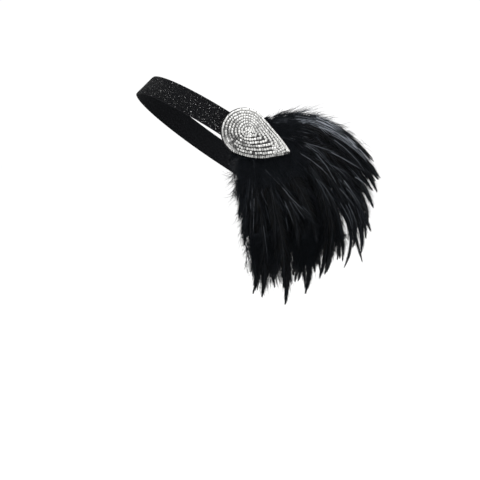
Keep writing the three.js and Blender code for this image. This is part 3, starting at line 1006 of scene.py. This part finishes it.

# A shaft gets a painted highlight of grey between its downy foot and its tip. It stays dark under
# light barbs.
SHAFT_HIGHLIGHT_SHARES = [0.18, 0.32, 0.6, 0.8]
SHAFT_HIGHLIGHT_FADE = [0.0, 1.0, 0.6, 0.0]
SHAFT_HIGHLIGHT_MOST = 0.6
SHAFT_SHEEN_GREY = 0.2
one_shaft = tube_faces(SHAFT_RINGS, SHAFT_SIDES)
shaft_points, shaft_faces = joined([(shaft(feather), one_shaft) for feather in fan])
highlight_fade = np.interp(np.linspace(0, 1, SHAFT_RINGS), SHAFT_HIGHLIGHT_SHARES, SHAFT_HIGHLIGHT_FADE)
highlight_fade = np.append(np.repeat(highlight_fade, SHAFT_SIDES), [0, 0])
fan_greys = np.array([feather.grey for feather in fan])
shaft_highlight_peaks = np.where(fan_greys > 1, SHAFT_SHEEN_GREY, np.minimum(fan_greys, SHAFT_HIGHLIGHT_MOST))
shaft_highlight_greys = np.outer(shaft_highlight_peaks, highlight_fade)
add_piece(
    "feather_shafts", shaft_points, shaft_faces, shaft_horn, "feather_fan", {"grey": shaft_highlight_greys}
)

# Down wells out from under the patch and hides the quills. More of it, from the feathers under
# the rest, fills the fan between the tips, fringes its front edge and lies along its top, where
# its light tones are painted sheen.
DOWN_PLACES = [
    # angles from and to in degrees, nearest and farthest foot from the eye, turn of the heading in
    # degrees, how loose the strands are, their length, lift as a share of the fan's depth, lightest
    # tone, strands
    (-80, 62, 0.000, 0.022, -17, 1.0, 0.011, 1.0, 0.78, 3200),
    (-46, -12, 0.090, 0.110, -3, 1.0, 0.012, 0.5, 0.4, 2800),
    (-55, -46, 0.078, 0.096, -3, 1.0, 0.010, 0.5, 0.4, 1000),
    (-54, -45, 0.096, 0.112, 0, 0.3, 0.017, 0.2, 0.82, 220),
    (-8, 14, 0.080, 0.096, -8, 1.0, 0.010, 0.2, 0.7, 700),
    (-74, -66, 0.034, 0.050, -4, 0.5, 0.008, 0.2, 0.78, 180),
    (-66, -61, 0.050, 0.066, 0, 0.5, 0.008, 0.2, 0.78, 160),
    (-62, -58, 0.066, 0.084, 2, 0.5, 0.009, 0.2, 0.78, 160),
    (-58.5, -55, 0.084, 0.104, 4, 0.5, 0.009, 0.2, 0.78, 200),
    (-50, -43, 0.098, 0.108, 0, 0.5, 0.014, 0.2, 0.82, 220),
    (58, 71, 0.019, 0.028, -15, 0.3, 0.018, 0.2, 0.78, 95),
    (50, 59, 0.031, 0.040, -5, 0.25, 0.019, 0.2, 0.93, 60),
    (64, 84, 0.000, 0.003, -36, 0.6, 0.006, 0.3, 0.78, 300),
    (46, 51, 0.045, 0.051, -12, 0.35, 0.013, 0.1, 0.95, 60),
    (41, 46, 0.052, 0.060, -14, 0.35, 0.013, 0.1, 0.95, 75),
    (36, 41, 0.061, 0.069, -16, 0.35, 0.012, 0.1, 0.95, 70),
    (31, 36, 0.070, 0.080, -28, 0.4, 0.009, 0.1, 0.95, 80),
    (26, 31, 0.081, 0.089, -38, 0.3, 0.009, 0.1, 0.95, 60),
    (-54.6, -53.2, 0.102, 0.110, 0, 0.2, 0.012, 0.2, 0.5, 60),
]
DOWN_SEED = 3
DOWN_RADIUS = 0.00012
DOWN_SPREAD = 0.35
DOWN_THINNING = 1.5
DOWN_BEND = (-0.4, 0.6)
DOWN_LENGTHS = (0.5, 1.3)
DOWN_RISE = 0.0003
DOWN_CURL = 0.002
DOWN_CURL_POWER = 1.5
DOWN_DARKEST = 0.1
RIM_SHARE = 0.85
RIM_POINTS = 720


def down(place, random):
    """Loose strands of one place, each on an arc with its own heading and bend.

    A foot's distance from the eye starts at the nearest one, or at the patch's rim where that
    is farther, and grows by a power of a random share, so the strands thin out.
    """
    low, high, near, far, turned, loose, length, lift, lightest, count = place
    angle = np.radians(random.uniform(low, high, count))
    rim, rim_angle = patch_outline(RIM_POINTS)
    start = np.maximum(near, RIM_SHARE * np.interp(angle, rim_angle + PATCH_TURN, rim, period=2 * np.pi))
    reach = start + (far - near) * random.random(count) ** DOWN_THINNING
    heading = angle + math.radians(turned) + DOWN_SPREAD * loose * random.normal(0, 1, count)
    bend = loose * random.normal(*DOWN_BEND, count)
    way = way_at(heading[:, None] + bend[:, None] * BARB_STEPS)
    stretch = np.diff(BARB_STEPS, prepend=0) * (length * random.uniform(*DOWN_LENGTHS, count))[:, None]
    line = (reach[:, None] * way_at(angle))[:, None] + np.cumsum(stretch[..., None] * way, axis=1)
    rise = DOWN_RISE + random.uniform(0, DOWN_CURL, count)[:, None] * BARB_STEPS**DOWN_CURL_POWER
    return strands(line, lift, rise, DOWN_RADIUS, random.uniform(DOWN_DARKEST, lightest, count))


parts = [down(place, np.random.default_rng(seed)) for seed, place in enumerate(DOWN_PLACES, DOWN_SEED)]
add_strands("feather_down", parts)

# The beads
# Silver-lined glass beads sewn down in teardrop rows that close on the hub of the patch. Long
# bugle beads edge the top and the round end, and beads lie crosswise along the foot's edge.
HUB_SETBACK = 0.0214
HUB_SHIFT = 0.0011
HUB_POINTS = 900
BEAD_MARGIN = 0.0002
ROW_COUNT = 7
ROW_OUTER = 0.937
ROW_STEP = 0.116
ROW_STEP_SWING = 0.007
ROW_STEP_TURN = math.radians(-30)
ROW_POINT = 0.045
ROW_POINT_POWER = 16
BEAD_RADIUS = 0.00102
BEAD_SIZES = (0.94, 1.06)
BEAD_ROOM = 0.44
BEAD_PITCH = 0.002
BEAD_FILL = 0.49
BEAD_STRAY = 0.00012
BEAD_JITTER = 0.05
BEAD_TILT = 0.12
BEAD_SINK = 0.0002
BEAD_SIDES = 10
# A bead's section: how far each corner lies along the hole, as a share of half the bead's length
# plus one of its radius, and how far out from it, as a share of its radius.
SECTION_LENGTHS, SECTION_BEVELS, SECTION_OUT = np.transpose(
    [
        (-0.8, 0.0, 0.35),
        (-1.0, 0.0, 0.74),
        (-1.0, 0.38, 1.0),
        (1.0, -0.38, 1.0),
        (1.0, 0.0, 0.74),
        (0.8, 0.0, 0.35),
    ]
)
BEAD_CORNERS = len(SECTION_OUT) * BEAD_SIDES
WAY_SPAN = 0.45
SMALL_STEP = 1e-5
bead_random = np.random.default_rng(5)


def from_eye(setback, shift):
    """A place given from the patch's round end and up from its middle line, seen from the eye."""
    way = way_at(PATCH_TURN)
    return (setback - EYE_SETBACK) * way + (shift - EYE_SHIFT) * left_of(way)


HUB = from_eye(HUB_SETBACK, HUB_SHIFT)
HUB_REACH, HUB_ANGLE = patch_outline(HUB_POINTS, HUB_SETBACK, HUB_SHIFT)


def on_patch(share, reach, angle, outset):
    """A ring round the hub, as the felt's rings run round the eye."""
    return patch_ring((reach, angle), share, outset) + HUB


def row_line(row, outset=-BEAD_MARGIN):
    """A row's line on the sheet, from the point along the top and round to the foot.

    The row lies on the ring at a share of the outline that falls by one step a row. The step
    swings with the cosine of the angle, so the rows stand wider apart at the foot. A high power
    of the cosine takes them further into the point.
    """
    step = ROW_STEP + ROW_STEP_SWING * np.cos(HUB_ANGLE - ROW_STEP_TURN)
    outer = ROW_OUTER + ROW_POINT * np.maximum(0, np.cos(HUB_ANGLE)) ** ROW_POINT_POWER
    return on_patch(outer - row * step, HUB_REACH, HUB_ANGLE, outset)


def spaced(line, pitch, first=0.0, last=1.0, jitter=BEAD_JITTER):
    """Evenly spaced places on a closed line between two shares of its length.

    Returns each place, the way along the line there, its share of the length and the pitch.
    """
    closed = np.concatenate([line, line[:1]])
    walked = walked_along(closed)
    length = walked[-1]
    count = int(round((last - first) * length / pitch))
    stops = length * (first + (last - first) * (np.arange(count) + 0.5) / count)
    stops += bead_random.normal(0, jitter * pitch, count)

    half = WAY_SPAN * pitch
    before, place, after = (
        places_at((stops + shift) % length, closed, walked) for shift in (-half, 0, half)
    )
    return place, unit(after - before), stops / length, (last - first) * length / count


def set_beads(place, way, radius, half_length, tilt=BEAD_TILT):
    """Beads lying on the felt at places of the sheet, each with its hole along its way.

    A bead is its section turned round its hole: bevelled ends, a round wall and the hole
    through it. Each leans by a small random tilt.
    """
    count = len(place)
    radius, half_length = np.broadcast_to(radius, count), np.broadcast_to(half_length, count)
    lift = BEADS_LOW + radius - BEAD_SINK
    centre = on_sheet(place, lift)
    hole = unit(on_sheet(place + SMALL_STEP * way, lift) - centre)
    out = unit(np.cross(hole, on_sheet(place + SMALL_STEP * left_of(way), lift) - centre))
    lean = bead_random.normal(0, tilt, (2, count, 1))
    hole = unit(hole + lean[0] * np.cross(out, hole) + lean[1] * out)
    across = unit(np.cross(out, hole))
    out = np.cross(hole, across)
    turn = full_turn(BEAD_SIDES) + bead_random.uniform(0, 1, (count, 1))
    spoke = np.cos(turn)[..., None] * across[:, None] + np.sin(turn)[..., None] * out[:, None]
    along = half_length[:, None] * SECTION_LENGTHS + radius[:, None] * SECTION_BEVELS
    away = radius[:, None] * SECTION_OUT
    rings = centre[:, None] + along[..., None] * hole[:, None]
    rings = rings[:, :, None] + away[..., None, None] * spoke[:, None]
    one = tube_faces(len(SECTION_OUT), BEAD_SIDES, closed=True)
    return rings.reshape(-1, 3), copied(one, BEAD_CORNERS, count)


def sewn_row(row, first=0.0, last=1.0):
    """One row of seed beads, or a stretch of it. Where the rows crowd, the beads are smaller."""
    line, inner = row_line(row), row_line(int(row) + 1)
    room = np.linalg.norm(line[:, None] - inner[None], axis=-1).min(axis=1)
    place, way, share, pitch = spaced(line, BEAD_PITCH, first, last)
    room = np.interp(share % 1, np.linspace(0, 1, len(room)), room)
    radius = np.minimum(BEAD_RADIUS, BEAD_ROOM * room) * bead_random.uniform(*BEAD_SIZES, len(place))
    place = place + left_of(way) * bead_random.normal(0, BEAD_STRAY, (len(place), 1))
    return set_beads(place, way, radius, BEAD_FILL * pitch)


def multiplied(tree, colour, shade):
    """A colour darkened by another: sockets 6 and 7 of the node, mixed in full by socket 0."""
    mixed = add_node(tree, "Mix", {6: colour, 7: shade, 0: 1.0}, data_type="RGBA", blend_type="MULTIPLY")
    return mixed.outputs[2]


SILVER_COLOURS = [
    (0.0, 0.03),
    (0.3, (0.3, 0.3, 0.293)),
    (0.6, (0.42, 0.42, 0.41)),
    (1.0, (0.53, 0.53, 0.517)),
]
BEAD_RIM_PAINTED_SHADE = [(0.2, 1.0), (0.65, 0.55)]


def bead_material():
    """Clear glass lined with silver: bright in the middle of a bead and darker at its rim, as painted
    shade.
    """
    material, tree, shader = new_material("silver_glass", Metallic=0.7, Roughness=0.45, Coat_Weight=0.12)
    silver = ramp(tree, own_value(tree, "tone"), SILVER_COLOURS)
    # Painted shade: the colour darkens as a bead's surface turns away towards its rim.
    facing = add_node(tree, "LayerWeight", {"Blend": 0.3}).outputs["Facing"]
    shade = ramp(tree, facing, BEAD_RIM_PAINTED_SHADE)
    tree.links.new(multiplied(tree, silver, shade), shader.inputs["Base Color"])
    return material


silver_glass = bead_material()

# Low on the patch the beads are darker, as painted shade: their tone falls at the most by the
# first value below. This starts a little under the band's middle line and is complete the last
# value's distance below that.
LOW_PAINTED_SHADE = 0.38
LOW_PAINTED_SHADE_FROM = 0.001
LOW_PAINTED_SHADE_OVER = 0.008


def add_beads(name, beads, darkest, lightest):
    """A piece of the bead field. Each bead gets one random tone, lowered low down by painted shade."""
    points, faces = beads
    centre = points.reshape(-1, BEAD_CORNERS, 3).mean(axis=1)
    below = -(centre - SEAT) @ SEAT_ACROSS - LOW_PAINTED_SHADE_FROM
    low_shade = LOW_PAINTED_SHADE * np.clip(below / LOW_PAINTED_SHADE_OVER, 0, 1)
    tone = bead_random.uniform(darkest, lightest, len(centre)) - low_shade
    tones = {"tone": np.repeat(tone, BEAD_CORNERS)}
    add_piece(name, points, faces, silver_glass, "bead_rows", tones)


SEED_TONES = (0.25, 1.0)
add_beads("seed_beads", joined([sewn_row(row) for row in range(1, ROW_COUNT)]), *SEED_TONES)

# Between the corners that the rows make at the point lie short stretches of more beads.
CORNER_ROWS = [
    # row, share of the row's length on each side of the point
    (0.5, 0.085),
    (1.5, 0.06),
    (2.5, 0.035),
]
CORNER_TONES = (0.4, 1.0)
corner_beads = joined([sewn_row(row, -share, share) for row, share in CORNER_ROWS])
add_beads("point_beads", corner_beads, *CORNER_TONES)

# Bugle beads run from the point over the top and round the end, nose to tail.
BUGLE_LENGTH = 0.0056
BUGLE_RADIUS = 0.00082
BUGLE_FILL = 0.497
BUGLE_JITTER = 0.004
BUGLE_TILT = 0.01
BUGLE_TONES = (0.6, 0.9)
FOOT_START = 0.66
place, way, _, pitch = spaced(row_line(0), BUGLE_LENGTH, 0, FOOT_START, BUGLE_JITTER)
bugles = set_beads(place, way, BUGLE_RADIUS, BUGLE_FILL * pitch, BUGLE_TILT)
add_beads("bugle_beads", bugles, *BUGLE_TONES)

# The foot's beads lie crosswise. Near the point they are darker, as painted shade, and their
# row runs in by a squared sine of the angle.
FOOT_PITCH = 0.00165
FOOT_FILL = 0.47
FOOT_HALF_LENGTH = 0.001
FOOT_TILT = 0.2
FOOT_OUTSET = 0.0001
FOOT_HOLLOW = 0.0011
FOOT_HOLLOW_TURN = math.radians(34)
FOOT_SHADE_SHARES = [FOOT_START, 0.86, 0.94, 1]
FOOT_SHADED_TONES = [0.6, 0.35, -0.2, -0.25]
FOOT_TONE_RANGE = 0.5
hollow = FOOT_HOLLOW * np.sin(np.pi * np.clip(-HUB_ANGLE / FOOT_HOLLOW_TURN, 0, 1)) ** 2
place, way, share, pitch = spaced(row_line(0, FOOT_OUTSET - hollow), FOOT_PITCH, FOOT_START, 1)
darkest = np.interp(share, FOOT_SHADE_SHARES, FOOT_SHADED_TONES)
crosswise_beads = set_beads(place, left_of(way), FOOT_FILL * pitch, FOOT_HALF_LENGTH, FOOT_TILT)
add_beads("foot_beads", crosswise_beads, darkest, darkest + FOOT_TONE_RANGE)

# The handful in the middle lies on a spiral of even turns, each bead with its own heading.
HANDFUL = 14
HANDFUL_BEAD = 0.00095
HANDFUL_TURN = math.radians(137.5)
HANDFUL_INSET = 0.6
HANDFUL_TILT = 0.35
HANDFUL_TONES = (0.4, 1.0)
turn = np.arange(HANDFUL) * HANDFUL_TURN
widest = ROW_OUTER - (ROW_COUNT - HANDFUL_INSET) * ROW_STEP
spread = widest * np.sqrt((np.arange(HANDFUL) + 0.5) / HANDFUL)
place = on_patch(spread, np.interp(turn, HUB_ANGLE, HUB_REACH, period=2 * np.pi), turn, 0)
way = way_at(bead_random.uniform(0, 2 * np.pi, HANDFUL))
add_beads("middle_beads", set_beads(place, way, HANDFUL_BEAD, HANDFUL_BEAD, HANDFUL_TILT), *HANDFUL_TONES)

# Thread, knots and the beads' undersides show between the rows as a grey bed, lighter in two
# pools of painted light.
BED_SHARE = 0.93
BED_THICKNESS = 0.0006
BED_PAINTED_LIGHTS = [
    # each pool of painted light: its place on the patch, from its round end and up from its middle
    # line, and how far it reaches
    (0.0171, 0.0140, 0.017),
    (0.0116, -0.0162, 0.009),
]
BED_PAINTED_LIGHT_GAIN = 1.5
THREAD_COLOURS = [(0.35, 0.5), (0.65, (1.0, 1.0, 0.98))]
BED_PAINTED_LIGHT_COLOURS = [(0.0, 0.05), (1.0, 0.55)]


def thread_material():
    """Dark grey thread in small loops, lighter in two pools of painted light."""
    material, tree, shader = new_material("silver_thread", Roughness=0.6, Specular_IOR_Level=0.3)
    loops = ramp(tree, grain(tree, scale=900.0, detail=2.0), THREAD_COLOURS)
    grey = ramp(tree, own_value(tree, "light"), BED_PAINTED_LIGHT_COLOURS)
    tree.links.new(multiplied(tree, loops, grey), shader.inputs["Base Color"])
    return material


bed_points = felt_plate(BED_SHARE, BEADS_LOW, BEADS_LOW + BED_THICKNESS)
# Painted light: the bed lightens towards the place of each pool.
light = np.zeros(len(bed_points))
for setback, shift, reach in BED_PAINTED_LIGHTS:
    centre = on_sheet(EYE + from_eye(setback, shift), BEADS_LOW)
    near = 1 - np.linalg.norm(bed_points - centre, axis=-1) / reach
    light = np.maximum(light, np.clip(BED_PAINTED_LIGHT_GAIN * near, 0, 1))
add_piece(
    "bead_thread_bed",
    bed_points,
    felt_faces,
    thread_material(),
    "bead_rows",
    {"light": light},
)

# The studio
# A plain pale floor under the headband, soft light from all round and from two large panels,
# and a camera level with the band that looks at the wearer's left side from a little in front.
FLOOR_DEPTH = 0.3
FLOOR_HALF = 20
ROOM_LIGHT = 1.04

corner_signs = [(-1, -1), (1, -1), (1, 1), (-1, 1)]
floor_corners = [(x * FLOOR_HALF, y * FLOOR_HALF, -FLOOR_DEPTH) for x, y in corner_signs]
floor_mesh = bpy.data.meshes.new("floor")
floor_mesh.from_pydata(floor_corners, [], [(0, 1, 2, 3)])
floor_material, _, floor_shader = new_material("pale_floor", Roughness=1.0, Specular_IOR_Level=0.0)
floor_shader.inputs["Base Color"].default_value = (0.97, 0.97, 0.97, 1)
floor_mesh.materials.append(floor_material)
floor = bpy.data.objects.new("floor", floor_mesh)
bpy.context.collection.objects.link(floor)

room = bpy.data.worlds.new("studio")
room.use_nodes = True
room.node_tree.nodes["Background"].inputs["Color"].default_value = (1, 1, 1, 1)
room.node_tree.nodes["Background"].inputs["Strength"].default_value = ROOM_LIGHT
bpy.context.scene.world = room


def add_panel(name, place, size, power):
    """A square light panel that faces the patch, its place and size in metres, power in watts."""
    light = bpy.data.lights.new(name, "AREA")
    light.shape, light.size, light.energy = "SQUARE", size, power
    panel = bpy.data.objects.new(name, light)
    panel.location = place
    panel.rotation_mode = "QUATERNION"
    panel.rotation_quaternion = (Vector(SEAT) - Vector(place)).to_track_quat("-Z", "Y")
    bpy.context.collection.objects.link(panel)


add_panel("key_panel", (0.75, -0.35, 1.05), 0.4, 16)
add_panel("top_panel", (0.1, 0.6, 1.2), 0.5, 26)

VIEW_TURN = math.radians(14.6)
VIEW_DISTANCE = 1.4
VIEW_LENS = 128.05
VIEW_NEAR = 0.05
VIEW_FAR = 100
SENSOR = 36
AIM_BELOW = 0.0813
view_way = Vector((math.cos(VIEW_TURN), -math.sin(VIEW_TURN), 0))
camera = bpy.data.objects.new("camera", bpy.data.cameras.new("camera"))
camera.data.lens, camera.data.sensor_width = VIEW_LENS, SENSOR
camera.data.clip_start, camera.data.clip_end = VIEW_NEAR, VIEW_FAR
middle = Vector(HEAD_MIDDLE)
camera.location = middle + VIEW_DISTANCE * view_way
aim = middle - Vector((0, 0, AIM_BELOW))
camera.rotation_mode = "QUATERNION"
camera.rotation_quaternion = (aim - camera.location).to_track_quat("-Z", "Y")
bpy.context.collection.objects.link(camera)
bpy.context.scene.camera = camera
bpy.context.scene.view_settings.view_transform = "Standard"
